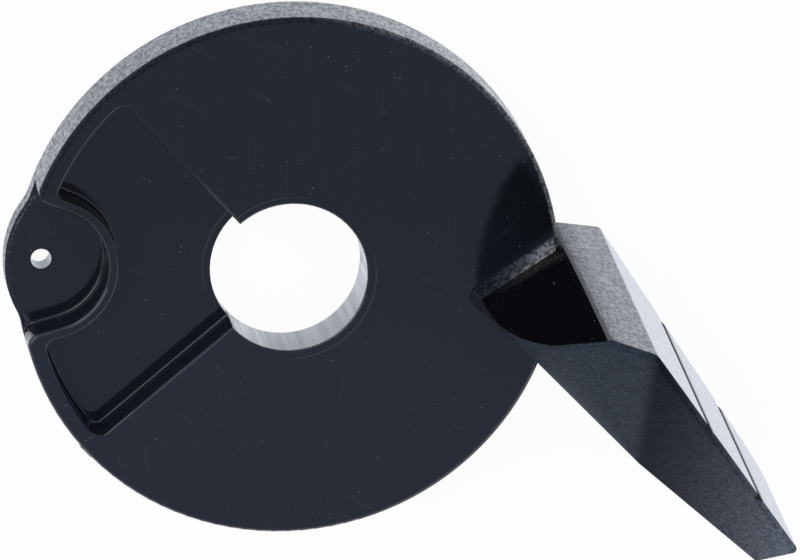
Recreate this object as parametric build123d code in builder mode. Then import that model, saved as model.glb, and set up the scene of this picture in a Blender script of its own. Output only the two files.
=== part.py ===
from build123d import *
import os
from math import atan2, cos, degrees, pi, radians, sin, tan

# Throttle lever moulded in one piece. A flat disc turns on a round bore and carries a tall thumb paddle.
# The bore is on the Z axis, the flat back lies on Z = 0 and the cable hole points along -X.

# Disc
disc_r = 25.0
disc_t = 5.5
bore_r = 7.1
bore_back_chamfer = 0.45
rim_edge = 0.45
back_edge = 0.3

# Pocket in the face, a sector open to the bore
pocket_depth = 3.4
pocket_half_angle = 44.3
rim_wall = 1.65
pocket_corner_r = 1.0
wall_corner_r = 0.8
pocket_edge = 0.25
floor_edge = 0.25

# Cable lug and the curved wall round it
hole_r = 0.95
hole_inset = 2.2
recess_r = 5.85
wall_t = 1.0
flare_angle = 19.0
flare_end_r = 1.2
lug_r = 9.75
lug_out = 1.15
lug_blend_r = 4.0

# Gate mark left on the rim by the mould
gate_angle = 226.0
gate_width = 1.5
gate_height = 1.6
gate_out = 0.3

# Paddle in plan, measured along and across the thumb pad
pad_angle = -53.2
pad_offset = 25.95
root_at = 11.5
pad_length = 29.1
shoulder_run = 2.9
shoulder_rise = 3.3
root_width = 9.36
back_slant = 13.9
tip_skew = 5.0
draft = 1.1

# Paddle in height
back_height = 20.9
roof_angle = 53.5
crease_run = 17.0
tip_height = 22.9
tip_round = 4.0
back_round = 36.0
shoulder_round = 1.2
paddle_edge = 0.4
skirt_width = 1.0
skirt_height = 0.8

# Grip grooves across the pad
groove_count = 2
groove_at = 10.2
groove_pitch = 10.2
groove_depth = 0.45
groove_ramp = 1.5

floor_z = disc_t - pocket_depth
pocket_r = disc_r - rim_wall
hole_reach = disc_r - hole_inset
lug_reach = disc_r + lug_out
wall_outer_r = recess_r + wall_t
reach_out = disc_r + lug_reach

with BuildPart() as disc:
    # Thin floor layer: the disc and the lug that stands out beyond it
    with BuildSketch() as floor_outline:
        Circle(disc_r)
        with Locations((lug_r - lug_reach, 0)):
            Circle(lug_r)
    extrude(amount=floor_z)
    lug_ends = disc.edges().filter_by(Axis.Z).group_by(Axis.X)[0]
    fillet(lug_ends, lug_blend_r)
    # Upper layer: the disc with the lug recess open to the outside
    with BuildSketch(Plane.XY.offset(floor_z)) as face_outline:
        Circle(disc_r)
        with BuildLine():
            bend = CenterArc((-hole_reach, 0), recess_r, flare_angle - 90, 180 - 2 * flare_angle)
            upper = PolarLine(bend @ 1, reach_out, 180 - flare_angle)
            lower = PolarLine(bend @ 0, reach_out, 180 + flare_angle)
            Line(upper @ 1, lower @ 1)
        make_face(mode=Mode.SUBTRACT)
    extrude(amount=pocket_depth)
    upright = disc.edges().filter_by(Axis.Z).filter_by_position(Axis.Z, floor_z, disc_t, (False, False))
    fillet(upright.group_by(Axis.X)[0], flare_end_r)
    # Sector pocket that leaves the rim and the curved wall standing
    with BuildSketch(Plane.XY.offset(floor_z)) as pocket_outline:
        Circle(pocket_r)
        with BuildLine():
            half_width = reach_out * tan(radians(pocket_half_angle))
            Polyline((0, 0), (-reach_out, half_width), (-reach_out, -half_width), close=True)
        make_face(mode=Mode.INTERSECT)
        with BuildLine():
            bend = CenterArc((-hole_reach, 0), wall_outer_r, flare_angle - 90, 180 - 2 * flare_angle)
            upper = PolarLine(bend @ 1, reach_out, 180 - flare_angle)
            lower = PolarLine(bend @ 0, reach_out, 180 + flare_angle)
            Line(upper @ 1, lower @ 1)
        make_face(mode=Mode.SUBTRACT)
    extrude(amount=pocket_depth, mode=Mode.SUBTRACT)
    inside = disc.edges().filter_by(Axis.Z).filter_by_position(Axis.Z, floor_z, disc_t, (False, False))
    corners = inside.filter_by(lambda e: abs(Vector(e.center().X, e.center().Y).length - pocket_r) < 0.01)
    outer_corners = corners.group_by(Axis.Y)[0] + corners.group_by(Axis.Y)[-1]
    wall_corners = corners - outer_corners
    fillet(outer_corners, pocket_corner_r)
    fillet(wall_corners, wall_corner_r)
    # Bore and cable hole
    with BuildSketch() as bore_outline:
        Circle(bore_r)
        with Locations((-hole_reach, 0)):
            Circle(hole_r)
    extrude(amount=disc_t, mode=Mode.SUBTRACT)
    # Rounded edges: the rim and the recess in one chain, the pocket and the bore, then both floors
    fillet(disc.faces().sort_by(Axis.Z)[-1].outer_wire().edges(), rim_edge)
    fillet(disc.faces().sort_by(Axis.Z)[-1].inner_wires().edges(), pocket_edge)
    recess_foot = disc.edges().sort_by_distance((recess_r - hole_reach, 0, floor_z))[0]
    fillet(recess_foot, floor_edge)
    pocket_foot = disc.edges().sort_by_distance((wall_outer_r - hole_reach, 0, floor_z))[0]
    fillet(pocket_foot, floor_edge)
    chamfer(disc.faces().sort_by(Axis.Z)[0].outer_wire().edges(), back_edge)
    bore_back = disc.edges().sort_by_distance((bore_r, 0, 0))[0]
    chamfer(bore_back, bore_back_chamfer)
    # Gate mark
    with BuildSketch(Plane.XY.offset((disc_t - gate_height) / 2)) as gate:
        with Locations(Rot(0, 0, gate_angle) * Pos(disc_r, 0, 0)):
            Rectangle(2 * gate_out, gate_width)
    extrude(amount=gate_height)

pad_plane = Plane.XY.rotated((0, 0, pad_angle))
lean = tan(radians(draft))
slant = radians(back_slant)
roof = radians(roof_angle)
tip_at = root_at + shoulder_run + pad_length
back_offset = pad_offset - shoulder_rise - root_width
skew = radians(tip_skew)
tip_depth = pad_offset - back_offset - (tip_at - root_at) * tan(slant)
tip_width = tip_depth / (cos(skew) + sin(skew) * tan(slant))
back_tip = Vector(tip_at + tip_width * sin(skew), pad_offset - tip_width * cos(skew), 0)
along_back = Vector(cos(slant), sin(slant), 0)
into_pad = Vector(-sin(slant), cos(slant), 0)
block_height = back_height + (shoulder_rise + root_width) * tan(roof) + disc_t
back_top = Vector(root_at, back_offset, back_height) + into_pad * (back_height * lean)
crease_end = back_top + along_back * crease_run
tip_top = Vector(tip_at, pad_offset - tip_height * lean, tip_height)

# Waste outside the rounded back, in section across the back wall just before the root
taper_run = crease_run + shoulder_run
waste_r = back_round * taper_run / crease_run
tangent_run = waste_r * tan((pi / 2 - radians(draft) - roof) / 2)
down_wall = Vector(-sin(radians(draft)), -cos(radians(draft)))
up_roof = Vector(cos(roof), sin(roof))
waste_plane = Plane(
    pad_plane.from_local_coords(crease_end - along_back * taper_run),
    x_dir=pad_plane.from_local_coords(into_pad),
    z_dir=pad_plane.from_local_coords(along_back),
)
with BuildSketch(waste_plane) as waste:
    with BuildLine():
        Polyline(down_wall * tangent_run, (down_wall + up_roof) * -tangent_run, up_roof * tangent_run)
        TangentArc(up_roof * tangent_run, down_wall * tangent_run, tangent=up_roof * -1)
    make_face()

with BuildPart() as paddle:
    # Plan drawn out of the mould with draft
    with BuildSketch(pad_plane) as plan:
        with BuildLine():
            Polyline(
                (root_at, back_offset),
                (back_tip.X, back_tip.Y),
                (tip_at, pad_offset),
                (root_at + shoulder_run, pad_offset),
                (root_at, back_offset + root_width),
                close=True,
            )
        make_face()
    extrude(amount=block_height, taper=draft)
    # The roof climbs from the back wall to the shoulder, the nose falls from its highest corner to the tip
    roof_rise = into_pad * cos(roof) + Vector(0, 0, sin(roof))
    roof_plane = Plane(
        pad_plane.from_local_coords(back_top),
        x_dir=pad_plane.from_local_coords(along_back),
        z_dir=pad_plane.from_local_coords(along_back.cross(roof_rise)),
    )
    split(bisect_by=roof_plane, keep=Keep.BOTTOM)
    apex = pad_plane.to_local_coords(paddle.vertices().sort_by(Axis.Z)[-1].center())
    nose_plane = Plane(
        pad_plane.from_local_coords(apex),
        x_dir=pad_plane.from_local_coords(tip_top - apex),
        z_dir=pad_plane.from_local_coords((tip_top - apex).cross(apex - crease_end)),
    )
    split(bisect_by=nose_plane, keep=Keep.BOTTOM)
    # Back rounded off as a cone that dies out where the crease meets the back wall
    loft([waste.sketch.face(), Vertex(*pad_plane.from_local_coords(crease_end))], mode=Mode.SUBTRACT)
    # Rounded edges: under the tip, at the shoulder, then the sharp edges that are left
    tip_foot = (back_tip + Vector(tip_at, pad_offset, 0)) / 2
    fillet(paddle.edges().sort_by_distance(pad_plane.from_local_coords(tip_foot))[0], tip_round)
    shoulder_edge = Vector(root_at, back_offset + root_width, back_height / 2)
    fillet(paddle.edges().sort_by_distance(pad_plane.from_local_coords(shoulder_edge))[0], shoulder_round)
    curved = paddle.faces().filter_by(GeomType.PLANE, reverse=True)
    foot = paddle.faces().sort_by(Axis.Z)[0]
    crease = paddle.edges().sort_by_distance(pad_plane.from_local_coords((apex + crease_end) / 2))[0]
    nose_back = paddle.edges().sort_by_distance(pad_plane.from_local_coords(crease_end + along_back * shoulder_run))[0]
    root_middle = Vector(root_at, back_offset + root_width / 2, back_height / 2)
    root_face = paddle.faces().sort_by_distance(pad_plane.from_local_coords(root_middle))[0]
    sharp = paddle.edges() - curved.edges() - foot.edges() - root_face.edges() - [crease, nose_back]
    fillet(sharp.sort_by(SortBy.LENGTH), paddle_edge)
    # Saw-tooth grooves that follow the draft of the pad
    for step in range(groove_count):
        start = Vector(root_at + shoulder_run + groove_at + step * groove_pitch, pad_offset, 0)
        groove_plane = Plane(
            pad_plane.from_local_coords(start),
            x_dir=pad_plane.from_local_coords(Vector(1, 0, 0)),
            z_dir=pad_plane.from_local_coords(Vector(0, -lean, 1)),
        )
        with BuildSketch(groove_plane) as groove:
            with BuildLine():
                Polyline(
                    (0, -groove_depth),
                    (groove_ramp, 0),
                    (groove_ramp, groove_depth),
                    (0, groove_depth),
                    close=True,
                )
            make_face()
        extrude(amount=block_height, both=True, mode=Mode.SUBTRACT)

# Sloped band round the foot of the paddle where it stands on the face
with BuildPart() as band:
    with BuildSketch(pad_plane.offset(disc_t)) as band_outline:
        add(plan.sketch_local)
        offset(amount=skirt_width - disc_t * lean, kind=Kind.INTERSECTION)
        root_corner = band_outline.vertices().sort_by_distance((root_at, back_offset, 0))[0]
        fillet(root_corner, skirt_width)
    extrude(amount=skirt_height, taper=degrees(atan2(skirt_width, skirt_height)))
    with BuildSketch(Plane.XY.offset(disc_t)) as face_area:
        Circle(disc_r - rim_edge)
    extrude(amount=skirt_height, mode=Mode.INTERSECT)

with BuildPart() as throttle_lever:
    add(disc.part)
    add(paddle.part)
    add(band.part)

throttle_lever.part.label = "throttle_lever"
os.makedirs("parts", exist_ok=True)
export_step(throttle_lever.part, "parts/throttle_lever.step")
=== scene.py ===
from math import radians

import bpy
from mathutils import Matrix, Vector


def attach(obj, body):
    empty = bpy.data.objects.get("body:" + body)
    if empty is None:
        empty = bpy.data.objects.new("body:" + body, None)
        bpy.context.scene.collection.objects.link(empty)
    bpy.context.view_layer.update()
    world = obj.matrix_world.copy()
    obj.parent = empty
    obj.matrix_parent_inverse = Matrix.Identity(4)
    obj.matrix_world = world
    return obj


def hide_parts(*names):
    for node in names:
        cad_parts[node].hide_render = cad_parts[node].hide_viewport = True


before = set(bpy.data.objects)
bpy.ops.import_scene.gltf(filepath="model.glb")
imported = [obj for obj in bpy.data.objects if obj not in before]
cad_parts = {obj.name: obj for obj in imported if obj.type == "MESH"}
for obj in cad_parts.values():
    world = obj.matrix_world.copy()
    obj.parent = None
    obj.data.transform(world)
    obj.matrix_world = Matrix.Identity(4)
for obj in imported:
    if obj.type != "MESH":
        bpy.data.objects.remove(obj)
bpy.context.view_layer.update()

# The lever, one injection moulding in black plastic with nothing fixed to it.
# The mould is polished for the face and the pocket and spark eroded for the rim and the paddle,
# so one copy of the solid carries several finishes that meet along its edges.
MERGE_DISTANCE = 0.000002
SMOOTH_ANGLE = radians(32)
FLAT_WEIGHT = 90
LUG_FLOOR = 0.0021
LEVEL = 0.999

bpy.ops.object.select_all(action="DESELECT")
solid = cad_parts["throttle_lever"]
lever = bpy.data.objects.new("lever_moulding", solid.data.copy())
bpy.context.scene.collection.objects.link(lever)
bpy.context.view_layer.objects.active = lever
lever.select_set(True)
bpy.ops.object.mode_set(mode="EDIT")
bpy.ops.mesh.select_all(action="SELECT")
bpy.ops.mesh.remove_doubles(threshold=MERGE_DISTANCE)
bpy.ops.object.mode_set(mode="OBJECT")
bpy.ops.object.shade_smooth_by_angle(angle=SMOOTH_ANGLE)
for facet in lever.data.polygons:
    if abs(facet.center.z - LUG_FLOOR) < MERGE_DISTANCE and facet.normal.z > LEVEL:
        facet.use_smooth = False
flat_faces = lever.modifiers.new("flat_faces", "WEIGHTED_NORMAL")
flat_faces.weight = FLAT_WEIGHT
flat_faces.keep_sharp = True
bpy.ops.object.modifier_apply(modifier=flat_faces.name)
lever.data.materials.clear()

# Grain that spark erosion leaves in the steel and the plastic copies: rounded pebbles with fine
# roughness over them and a slow swell under them. Pits is the mask of its low places.
PEBBLE_SMOOTHNESS = 0.6
SWELL_SCALE = 0.3
SWELL_HEIGHT = 0.6
PIT_RANGE = (0.35, 0.65)


def new_group(name, inputs, outputs):
    """An empty shader node group with float sockets, and its input and output nodes."""
    group = bpy.data.node_groups.new(name, "ShaderNodeTree")
    group.interface.new_socket("Vector", in_out="INPUT", socket_type="NodeSocketVector")
    for label, value in inputs:
        socket = group.interface.new_socket(label, in_out="INPUT", socket_type="NodeSocketFloat")
        socket.default_value = value
    for label in outputs:
        group.interface.new_socket(label, in_out="OUTPUT", socket_type="NodeSocketFloat")
    return group, group.nodes.new("NodeGroupInput"), group.nodes.new("NodeGroupOutput")


def noise(tree, vector, scale, detail=2.0, rough=0.5):
    """Soft noise over the surface, from 0 to 1 about a half."""
    node = tree.nodes.new("ShaderNodeTexNoise")
    node.inputs["Detail"].default_value = detail
    node.inputs["Roughness"].default_value = rough
    tree.links.new(vector, node.inputs["Vector"])
    if isinstance(scale, float):
        node.inputs["Scale"].default_value = scale
    else:
        tree.links.new(scale, node.inputs["Scale"])
    return node.outputs["Fac"]


def math(tree, operation, first, second=0.0):
    """One step of arithmetic on values or sockets."""
    node = tree.nodes.new("ShaderNodeMath")
    node.operation = operation
    for socket, value in zip(node.inputs, (first, second)):
        if isinstance(value, (int, float)):
            socket.default_value = value
        else:
            tree.links.new(value, socket)
    return node.outputs[0]


def ramp(tree, value, low, high, out_low=0.0, out_high=1.0):
    """A smooth step of a value from one range to another."""
    node = tree.nodes.new("ShaderNodeMapRange")
    node.interpolation_type = "SMOOTHSTEP"
    tree.links.new(value, node.inputs["Value"])
    limits = (("From Min", low), ("From Max", high), ("To Min", out_low), ("To Max", out_high))
    for label, number in limits:
        node.inputs[label].default_value = number
    return node.outputs["Result"]


spark_grain, grain_in, grain_out = new_group(
    "spark_grain", (("Scale", 2600.0), ("Pebble", 0.5)), ("Height", "Pits")
)
pebbles = spark_grain.nodes.new("ShaderNodeTexVoronoi")
pebbles.feature = "SMOOTH_F1"
pebbles.inputs["Smoothness"].default_value = PEBBLE_SMOOTHNESS
spark_grain.links.new(grain_in.outputs["Vector"], pebbles.inputs["Vector"])
spark_grain.links.new(grain_in.outputs["Scale"], pebbles.inputs["Scale"])
fine = noise(spark_grain, grain_in.outputs["Vector"], grain_in.outputs["Scale"], 3.0, 0.6)
swell_scale = math(spark_grain, "MULTIPLY", grain_in.outputs["Scale"], SWELL_SCALE)
swell = noise(spark_grain, grain_in.outputs["Vector"], swell_scale)
domes = math(spark_grain, "SUBTRACT", 1.0, pebbles.outputs["Distance"])
domes = math(spark_grain, "MULTIPLY", domes, grain_in.outputs["Pebble"])
height = math(spark_grain, "ADD", domes, fine)
height = math(spark_grain, "ADD", height, math(spark_grain, "MULTIPLY", swell, SWELL_HEIGHT))
spark_grain.links.new(height, grain_out.inputs["Height"])
spark_grain.links.new(ramp(spark_grain, fine, *PIT_RANGE), grain_out.inputs["Pits"])

# Marks of a parts bin on glossy black: white dust in clusters, hairlines in three directions,
# and the uneven haze of handling.
DUST_SIZES = ((800.0, 0.10, 0.645), (1900.0, 0.11, 0.575))
HAIRLINE_RUNS = ((25.0, 30.0), (-50.0, 42.0), (85.0, 36.0))
HAIRLINE_SCALE = 150.0
HAZE_SCALE = 95.0

bin_marks, marks_in, marks_out = new_group(
    "bin_marks", (("Amount", 1.0),), ("Dust", "Hairlines", "Haze")
)
dust = None
for spacing, size, gate in DUST_SIZES:
    specks = bin_marks.nodes.new("ShaderNodeTexVoronoi")
    specks.inputs["Scale"].default_value = spacing
    bin_marks.links.new(marks_in.outputs["Vector"], specks.inputs["Vector"])
    sparse = noise(bin_marks, marks_in.outputs["Vector"], spacing * 0.5)
    dots = ramp(bin_marks, specks.outputs["Distance"], size, size * 0.5)
    dots = math(bin_marks, "MULTIPLY", dots, ramp(bin_marks, sparse, gate, gate + 0.08))
    dust = dots if dust is None else math(bin_marks, "MAXIMUM", dust, dots)
dust = math(bin_marks, "MULTIPLY", dust, marks_in.outputs["Amount"])
bin_marks.links.new(dust, marks_out.inputs["Dust"])
lines = None
for turn, length in HAIRLINE_RUNS:
    turned = bin_marks.nodes.new("ShaderNodeVectorRotate")
    turned.rotation_type = "Z_AXIS"
    turned.inputs["Angle"].default_value = radians(turn)
    bin_marks.links.new(marks_in.outputs["Vector"], turned.inputs["Vector"])
    stretched = bin_marks.nodes.new("ShaderNodeMapping")
    stretched.inputs["Scale"].default_value = (1.0, length, 1.0)
    bin_marks.links.new(turned.outputs["Vector"], stretched.inputs["Vector"])
    streak = noise(bin_marks, stretched.outputs["Vector"], HAIRLINE_SCALE, 1.0)
    streak = ramp(bin_marks, streak, 0.70, 0.80)
    lines = streak if lines is None else math(bin_marks, "MAXIMUM", lines, streak)
lines = math(bin_marks, "MULTIPLY", lines, marks_in.outputs["Amount"])
bin_marks.links.new(lines, marks_out.inputs["Hairlines"])
haze = noise(bin_marks, marks_in.outputs["Vector"], HAZE_SCALE, 4.0, 0.6)
bin_marks.links.new(haze, marks_out.inputs["Haze"])

# Polished finish of the face, the pocket, the lug and the curved wall.
# Near black with a blue cast, so that almost all that shows is what it mirrors. Its black is painted
# paler and bluer toward -Y and darker toward +Y, a painted reflection.
# A faint ring round the bore marks its core pin, and the lug's outer edge is rounded and grained.
FACE_PAINTED_PALE = (0.0060, 0.0074, 0.0135)
FACE_PAINTED_DARK = (0.0024, 0.0030, 0.0042)
FACE_DUST = (0.26, 0.27, 0.29)
HAIRLINE_GREY = (0.030, 0.033, 0.040)
RING_RADIUS = 0.00785
RING_WIDTH = 0.00012
LUG_CENTRE = -0.0164
LUG_RADIUS = 0.00975
LUG_EDGE = 0.0007
LUG_FROM = 0.0237
LUG_BLUR = 0.0003
EDGE_FALL = 2.6
EDGE_RELIEF = 13.0


def place_group(tree, group, vector, **values):
    """The group placed in a finish, with its own values."""
    node = tree.nodes.new("ShaderNodeGroup")
    node.node_tree = group
    tree.links.new(vector, node.inputs["Vector"])
    for label, value in values.items():
        node.inputs[label].default_value = value
    return node


def new_finish(name, ior, specular=0.5, cast=(1.0, 1.0, 1.0)):
    """A material with its Principled BSDF and the object's own coordinates."""
    finish = bpy.data.materials.new(name)
    finish.use_nodes = True
    tree = finish.node_tree
    shader = tree.nodes["Principled BSDF"]
    shader.inputs["IOR"].default_value = ior
    shader.inputs["Specular IOR Level"].default_value = specular
    shader.inputs["Specular Tint"].default_value = (*cast, 1.0)
    place = tree.nodes.new("ShaderNodeTexCoord").outputs["Object"]
    lever.data.materials.append(finish)
    return tree, shader, place


def blend(tree, factor, first, second):
    """A colour between two colours, each a value or a socket."""
    node = tree.nodes.new("ShaderNodeMix")
    node.data_type = "RGBA"
    tree.links.new(factor, node.inputs["Factor"])
    for label, colour in (("A", first), ("B", second)):
        if isinstance(colour, tuple):
            node.inputs[label].default_value = (*colour, 1.0)
        else:
            tree.links.new(colour, node.inputs[label])
    return node.outputs["Result"]


def bump(tree, shader, height, depth):
    """Relief of a given depth in metres."""
    node = tree.nodes.new("ShaderNodeBump")
    node.inputs["Distance"].default_value = depth
    tree.links.new(height, node.inputs["Height"])
    tree.links.new(node.outputs["Normal"], shader.inputs["Normal"])


def radius_from(tree, axes, centre):
    """Distance from an upright line that stands on the X axis."""
    across = math(tree, "SUBTRACT", axes.outputs["X"], centre)
    squares = math(tree, "MULTIPLY", across, across)
    squares = math(tree, "ADD", squares, math(tree, "MULTIPLY", axes.outputs["Y"], axes.outputs["Y"]))
    return math(tree, "SQRT", squares)


tree, shader, place = new_finish("polished_face", 1.5)
marks = place_group(tree, bin_marks, place, Amount=1.0)
axes = tree.nodes.new("ShaderNodeSeparateXYZ")
tree.links.new(place, axes.inputs["Vector"])
# Painted reflection: the black runs from paler and bluer at -Y to darker at +Y.
plastic = blend(tree, ramp(tree, axes.outputs["Y"], -0.016, 0.012), FACE_PAINTED_PALE, FACE_PAINTED_DARK)
rubbed = math(tree, "MULTIPLY", marks.outputs["Hairlines"], 0.3)
plastic = blend(tree, rubbed, plastic, HAIRLINE_GREY)
plastic = blend(tree, marks.outputs["Dust"], plastic, FACE_DUST)
tree.links.new(plastic, shader.inputs["Base Color"])
haze = ramp(tree, marks.outputs["Haze"], 0.3, 0.7, 0.06, 0.11)
haze = math(tree, "ADD", haze, math(tree, "MULTIPLY", marks.outputs["Hairlines"], 0.16))
tree.links.new(haze, shader.inputs["Roughness"])
bore_reach = radius_from(tree, axes, 0.0)
off_ring = math(tree, "ABSOLUTE", math(tree, "SUBTRACT", bore_reach, RING_RADIUS))
relief = math(tree, "MULTIPLY", ramp(tree, off_ring, RING_WIDTH, 0.0), 2.0)
relief = math(tree, "ADD", relief, marks.outputs["Dust"])
lug_edge = ramp(tree, radius_from(tree, axes, LUG_CENTRE), LUG_RADIUS - LUG_EDGE, LUG_RADIUS)
on_lug = ramp(tree, bore_reach, LUG_FROM, LUG_FROM + LUG_BLUR)
lug_edge = math(tree, "MULTIPLY", lug_edge, on_lug)
on_floor = ramp(tree, axes.outputs["Z"], LUG_FLOOR + LUG_BLUR, LUG_FLOOR)
lug_edge = math(tree, "MULTIPLY", lug_edge, on_floor)
grain = place_group(tree, spark_grain, place, Scale=2800.0, Pebble=0.8)
rounding = math(tree, "SUBTRACT", grain.outputs["Height"], EDGE_FALL)
rounding = math(tree, "MULTIPLY", rounding, EDGE_RELIEF)
relief = math(tree, "ADD", relief, math(tree, "MULTIPLY", lug_edge, rounding))
bump(tree, shader, relief, 0.00001)

# Root wall of the paddle, polished in the mould like the face. It mirrors the dark face below it, and
# its black is painted darker than the face's with a weaker reflection, painted shade for the shade it
# stands in.
ROOT_SHADE_BLACK = (0.0004, 0.0005, 0.0009)
ROOT_DUST = (0.3, 0.3, 0.3)

tree, shader, place = new_finish("polished_root", 1.5, 0.25)
marks = place_group(tree, bin_marks, place, Amount=1.0)
# Painted shade: a black darker than the face's.
tree.links.new(blend(tree, marks.outputs["Dust"], ROOT_SHADE_BLACK, ROOT_DUST), shader.inputs["Base Color"])
shader.inputs["Roughness"].default_value = 0.08

# Eroded plastic of the rim with the edge of the lug, the shoulder beside the root, the smoother thumb
# pad, and the sloped band where the paddle stands on the face, which the rim's rounded edge shares.
# The grain is drawn out along the way the mould opens, and the shine fades out toward the paddle's root
# and back, painted shade for those sheltered corners.
# A blue tint on the reflections, a painted cool cast standing in for the surround's light.
COOL_REFLECTION_TINT = (0.80, 0.88, 1.0)
PIT_BLACK = (0.003, 0.0035, 0.005)
GRAIN_BLACK = (0.010, 0.012, 0.016)
ALONG_PAD = (0.599, -0.801, 0.0)
OUT_OF_PAD = (0.801, 0.599, 0.0)


def measure(tree, place, direction, start):
    """Distance of a place from a start, in one direction."""
    node = tree.nodes.new("ShaderNodeVectorMath")
    node.operation = "DOT_PRODUCT"
    node.inputs[1].default_value = direction
    tree.links.new(place, node.inputs[0])
    return math(tree, "SUBTRACT", node.outputs["Value"], start)


def draw_out(tree, place, drawn):
    """Coordinates that stretch a texture along the way the mould opens."""
    node = tree.nodes.new("ShaderNodeMapping")
    node.inputs["Scale"].default_value = (1.0, 1.0, drawn)
    tree.links.new(place, node.inputs["Vector"])
    return node.outputs["Vector"]


def grained_finish(name, iors, scale, drawn, rough, coat, depth, fade=None):
    """Spark-eroded plastic with a shine on its high places, which may fade in from a line as painted
    shade.
    """
    tree, shader, place = new_finish(name, iors[0], 0.5, COOL_REFLECTION_TINT)
    grain = place_group(tree, spark_grain, draw_out(tree, place, drawn), Scale=scale, Pebble=0.8)
    pits = grain.outputs["Pits"]
    tree.links.new(blend(tree, pits, PIT_BLACK, GRAIN_BLACK), shader.inputs["Base Color"])
    tree.links.new(ramp(tree, pits, 0.0, 1.0, rough + 0.1, rough), shader.inputs["Roughness"])
    shine = ramp(tree, pits, 0.0, 1.0, *coat)
    if fade:
        direction, start, run = fade
        painted_shade_ramp = ramp(tree, measure(tree, place, direction, start), 0.0, run)
        shine = math(tree, "MULTIPLY", shine, painted_shade_ramp)
    tree.links.new(shine, shader.inputs["Coat Weight"])
    shader.inputs["Coat Roughness"].default_value = 0.2
    shader.inputs["Coat IOR"].default_value = iors[1]
    bump(tree, shader, grain.outputs["Height"], depth)


# Painted shade: the shoulder's shine fades in away from the root, the band's away from the back.
from_root = (ALONG_PAD, 0.0112, 0.0022)
from_back = (OUT_OF_PAD, 0.0138, 0.0070)
grained_finish("eroded_rim", (1.8, 2.2), 2900.0, 0.5, 0.26, (0.3, 1.0), 0.0003)
grained_finish("leathery_shoulder", (1.7, 2.4), 3000.0, 0.45, 0.20, (0.5, 1.0), 0.0003, from_root)
grained_finish("worn_pad", (2.4, 2.0), 3200.0, 0.5, 0.12, (0.85, 1.0), 0.000016)
grained_finish("eroded_band", (1.26, 1.9), 3000.0, 1.0, 0.35, (0.2, 1.0), 0.00016, from_back)

# Duller leathery finish of the paddle's roof, nose and back wall.
# The roof keeps one grey up to the crease, painted lighter than the black plastic as painted light. The
# nose is painted dark at the crease as painted shade and pales toward the tip as painted light.
CREASE_FACING = (0.992, 0.129, 0.0)
CREASE_AT = 0.02925
NOSE_REACH = 0.0125
ROOF_PAINTED_GREY = (0.0355, 0.0440, 0.0600)
NOSE_PAINTED_SHADE = (0.0042, 0.0074, 0.0148)
NOSE_PAINTED_LIGHT = (0.134, 0.146, 0.173)
ROOF_PITS = (0.002, 0.002, 0.003)

tree, shader, place = new_finish("dull_roof", 1.5, 0.025)
grain = place_group(tree, spark_grain, place, Scale=3000.0, Pebble=0.8)
# Painted light and shade: roof grey, dark at the crease, paler toward the tip.
past_crease = measure(tree, place, CREASE_FACING, CREASE_AT)
painted_paling = math(tree, "MAXIMUM", math(tree, "DIVIDE", past_crease, NOSE_REACH), 0.0)
painted_paling = math(tree, "POWER", math(tree, "MINIMUM", painted_paling, 1.0), 1.6)
nose = blend(tree, painted_paling, NOSE_PAINTED_SHADE, NOSE_PAINTED_LIGHT)
tone = blend(tree, ramp(tree, past_crease, -0.0010, 0.0003), ROOF_PAINTED_GREY, nose)
pitted = ramp(tree, grain.outputs["Pits"], 0.0, 1.0, 0.5, 0.0)
tree.links.new(blend(tree, pitted, tone, ROOF_PITS), shader.inputs["Base Color"])
shader.inputs["Roughness"].default_value = 0.5
bump(tree, shader, grain.outputs["Height"], 0.00009)

# Grip grooves across the pad. Where the mould steps in, their ramps are painted dark and matt as
# painted shade, and they turn as bright as the pad where they run out again.
GROOVE_START = 0.0246
GROOVE_PITCH = 0.0102
GROOVE_RAMP = 0.0015
PAINTED_SHADE_TO = 0.00118
PAINTED_SHADE_END = 0.00135

tree, shader, place = new_finish("groove_ramp", 1.5, 0.0)
# Painted shade: a dark matt base and no specular on the groove ramps.
shader.inputs["Base Color"].default_value = (0.004, 0.005, 0.007, 1.0)
shader.inputs["Roughness"].default_value = 0.8
up_ramp = math(tree, "MODULO", measure(tree, place, ALONG_PAD, GROOVE_START), GROOVE_PITCH)
tree.links.new(ramp(tree, up_ramp, PAINTED_SHADE_TO, PAINTED_SHADE_END, 0.05, 1.0), shader.inputs["Coat Weight"])
shader.inputs["Coat Roughness"].default_value = 0.2
shader.inputs["Coat IOR"].default_value = 2.6

# Burnished wall of the bore and of the cable hole.
# Each is drawn off a plain steel core pin, which leaves fine streaks along it.
STREAK_DARK = (0.006, 0.007, 0.009)
STREAK_PALE = (0.020, 0.021, 0.024)

# Its reflections take the painted cool tint too.
tree, shader, place = new_finish("burnished_bore", 2.1, 0.5, COOL_REFLECTION_TINT)
streaks = noise(tree, draw_out(tree, place, 0.04), 1500.0, 3.0, 0.6)
tree.links.new(blend(tree, streaks, STREAK_DARK, STREAK_PALE), shader.inputs["Base Color"])
tree.links.new(ramp(tree, streaks, 0.3, 0.7, 0.10, 0.26), shader.inputs["Roughness"])
tree.links.new(ramp(tree, streaks, 0.3, 0.7, 1.0, 0.6), shader.inputs["Coat Weight"])
shader.inputs["Coat Roughness"].default_value = 0.12
shader.inputs["Coat IOR"].default_value = 2.2
bump(tree, shader, streaks, 0.00002)

# Satin finish of the flat back, which the mould leaves as turned.
# It can't be seen in use, so it carries a little dust and no polish.
BACK_BLACK = (0.007, 0.008, 0.010)
BACK_DUST = (0.4, 0.4, 0.4)

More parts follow.
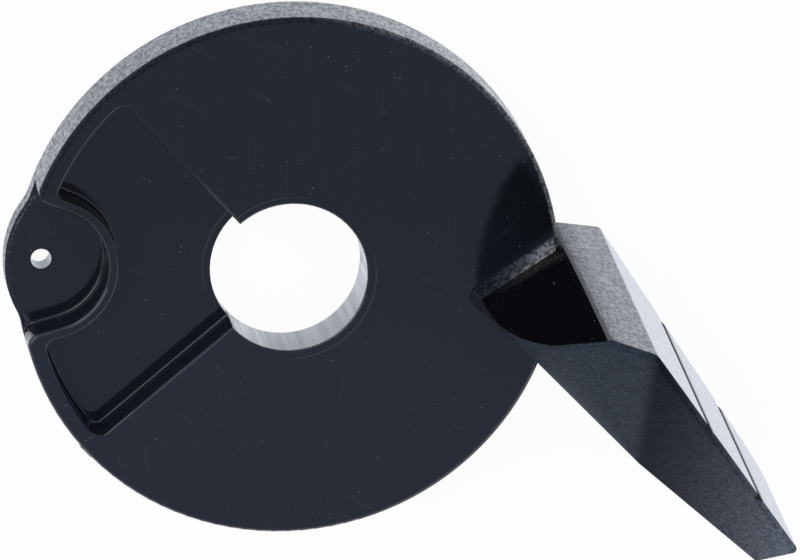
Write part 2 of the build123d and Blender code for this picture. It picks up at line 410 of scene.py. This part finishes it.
tree, shader, place = new_finish("satin_back", 1.5)
grain = place_group(tree, spark_grain, place, Scale=4000.0, Pebble=0.1)
marks = place_group(tree, bin_marks, place, Amount=0.7)
tree.links.new(blend(tree, marks.outputs["Dust"], BACK_BLACK, BACK_DUST), shader.inputs["Base Color"])
tree.links.new(ramp(tree, marks.outputs["Haze"], 0.3, 0.7, 0.34, 0.5), shader.inputs["Roughness"])
bump(tree, shader, grain.outputs["Height"], 0.00001)

# The moulding put together with its finishes: each facet takes that of the mould face it was cast
# against. Facets are told apart by where they lie and by how far they tilt.
DISC_RADIUS = 0.025
FACE_HEIGHT = 0.0055
BAND_TOP = 0.0064
BACK_TOP = 0.0003
BORE_RADIUS = 0.0071
HOLE_AT = Vector((-0.0228, 0.0))
HOLE_RADIUS = 0.00095
PAD_LEVEL = 0.0248
RIM_ROUNDING = 0.0006
MARGIN = 0.0005
WALL_TILT = 0.03
SIDE_TILT = 0.2
HALF_TILT = 0.5
FACE_TILT = 0.9985
FACE, ROOT, RIM, SHOULDER, PAD, BAND, ROOF, GROOVE, BORE, BACK = range(10)


def paddle_finish(spot, normal):
    """Finish of a facet of the paddle."""
    along = spot.dot(Vector(ALONG_PAD))
    facing = normal.dot(Vector(OUT_OF_PAD))
    upright = normal.z < SIDE_TILT
    if normal.dot(Vector(ALONG_PAD)) < -0.88:
        return ROOT
    if spot.z < BAND_TOP and normal.z > 0.3:
        return BAND
    in_groove = along > GROOVE_START and (along - GROOVE_START) % GROOVE_PITCH < GROOVE_RAMP
    if in_groove and spot.dot(Vector(OUT_OF_PAD)) > PAD_LEVEL and upright and facing < 0.98:
        return GROOVE
    if upright and facing > 0.9:
        return PAD
    if upright and normal.y > 0.4:
        return SHOULDER
    return ROOF


def disc_finish(spot, normal, reach):
    """Finish of a facet of the disc, the lug, the bore or the cable hole."""
    outward = normal.dot(Vector((spot.x, spot.y, 0.0))) / reach
    in_hole = (spot.to_2d() - HOLE_AT).length < HOLE_RADIUS + 0.0002
    if spot.z < BACK_TOP and normal.z < -0.9:
        return BACK
    if (reach < BORE_RADIUS + MARGIN or in_hole) and normal.z < HALF_TILT:
        return BORE
    if reach > DISC_RADIUS - RIM_ROUNDING and spot.y > 0.0 and WALL_TILT < normal.z < FACE_TILT:
        return BAND
    if reach > DISC_RADIUS - MARGIN and normal.z < WALL_TILT and outward > 0.3:
        return RIM
    return FACE


for facet in lever.data.polygons:
    spot = facet.center
    reach = spot.to_2d().length
    if spot.z > FACE_HEIGHT + 0.00002 or (reach > DISC_RADIUS + 0.001 and spot.x > 0.0):
        facet.material_index = paddle_finish(spot, facet.normal)
    else:
        facet.material_index = disc_finish(spot, facet.normal, reach)
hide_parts("throttle_lever")
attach(lever, "root")

# Plain white paper floor that the lever lies on.
# It is white to the eye and a little cool in reflections, and still takes the lever's soft shadow.
FLOOR_SIZE = 3.0
PAPER_WHITE = (0.95, 0.95, 0.95, 1.0)
COOL_WHITE = (0.89, 0.93, 1.0)
WHITE = (1.0, 1.0, 1.0)
GLOW = 0.95

bpy.ops.object.select_all(action="DESELECT")
bpy.ops.mesh.primitive_plane_add(size=FLOOR_SIZE, location=(0.0, 0.0, 0.0))
floor = bpy.context.active_object
floor.name = "studio_floor"
paper = bpy.data.materials.new("white_paper")
paper.use_nodes = True
tree = paper.node_tree
shader = tree.nodes["Principled BSDF"]
shader.inputs["Base Color"].default_value = PAPER_WHITE
shader.inputs["Roughness"].default_value = 0.9
shader.inputs["Specular IOR Level"].default_value = 0.0
rays = tree.nodes.new("ShaderNodeLightPath")
seen = math(tree, "MAXIMUM", rays.outputs["Is Camera Ray"], rays.outputs["Is Glossy Ray"])
seen = math(tree, "MAXIMUM", seen, rays.outputs["Is Transmission Ray"])
glow = tree.nodes.new("ShaderNodeEmission")
glow.inputs["Strength"].default_value = 1.0
glow_colour = blend(tree, rays.outputs["Is Camera Ray"], COOL_WHITE, WHITE)
tree.links.new(glow_colour, glow.inputs["Color"])
mixed = tree.nodes.new("ShaderNodeMixShader")
tree.links.new(math(tree, "MULTIPLY", seen, GLOW), mixed.inputs["Fac"])
tree.links.new(shader.outputs["BSDF"], mixed.inputs[1])
tree.links.new(glow.outputs["Emission"], mixed.inputs[2])
tree.links.new(mixed.outputs["Shader"], tree.nodes["Material Output"].inputs["Surface"])
floor.data.materials.append(paper)

# Soft studio light: a white surround at the horizon under a cooler and darker ceiling,
# with two large softboxes, the stronger one on the left.
CEILING = (0.42, 0.50, 0.66)
CEILING_FROM = 0.75
HORIZON_TO = 0.20

surround = bpy.data.worlds.new("studio_surround")
surround.use_nodes = True
tree = surround.node_tree
direction = tree.nodes.new("ShaderNodeTexCoord")
parts = tree.nodes.new("ShaderNodeSeparateXYZ")
tree.links.new(direction.outputs["Generated"], parts.inputs["Vector"])
low = ramp(tree, parts.outputs["Z"], CEILING_FROM, HORIZON_TO)
rays = tree.nodes.new("ShaderNodeLightPath")
low = math(tree, "MAXIMUM", low, rays.outputs["Is Camera Ray"])
tree.links.new(blend(tree, low, CEILING, WHITE), tree.nodes["Background"].inputs["Color"])
bpy.context.scene.world = surround


def softbox(name, place, size, power):
    """A square softbox that faces the lever."""
    lamp = bpy.data.lights.new(name, "AREA")
    lamp.shape = "SQUARE"
    lamp.size = size
    lamp.energy = power
    light = bpy.data.objects.new(name, lamp)
    bpy.context.scene.collection.objects.link(light)
    light.location = place
    light.rotation_euler = (-Vector(place)).to_track_quat("-Z", "Y").to_euler()


softbox("left_softbox", (-0.75, 0.40, 0.55), 1.0, 4.5)
softbox("right_softbox", (0.70, -0.55, 0.55), 1.0, 2.2)

# Camera at the photograph's viewing angle, far off with a long lens,
# turned so that the lug points left.
CAMERA_AT = Vector((-0.14096, 0.29107, 0.86596))
CAMERA_AIM = Vector((0.00988, 0.00058, 0.00692))
CAMERA_RIGHT = Vector((0.98775, 0.07665, 0.13589))

back = (CAMERA_AT - CAMERA_AIM).normalized()
right = (CAMERA_RIGHT - back * CAMERA_RIGHT.dot(back)).normalized()
up = back.cross(right)
lens = bpy.data.cameras.new("photo_camera")
lens.sensor_width = 36.0
lens.lens = 450.0
lens.clip_start = 0.01
lens.clip_end = 20.0
camera = bpy.data.objects.new("photo_camera", lens)
bpy.context.scene.collection.objects.link(camera)
camera.matrix_world = Matrix.Translation(CAMERA_AT) @ Matrix((right, up, back)).transposed().to_4x4()
bpy.context.scene.camera = camera
bpy.context.scene.view_settings.view_transform = "Standard"
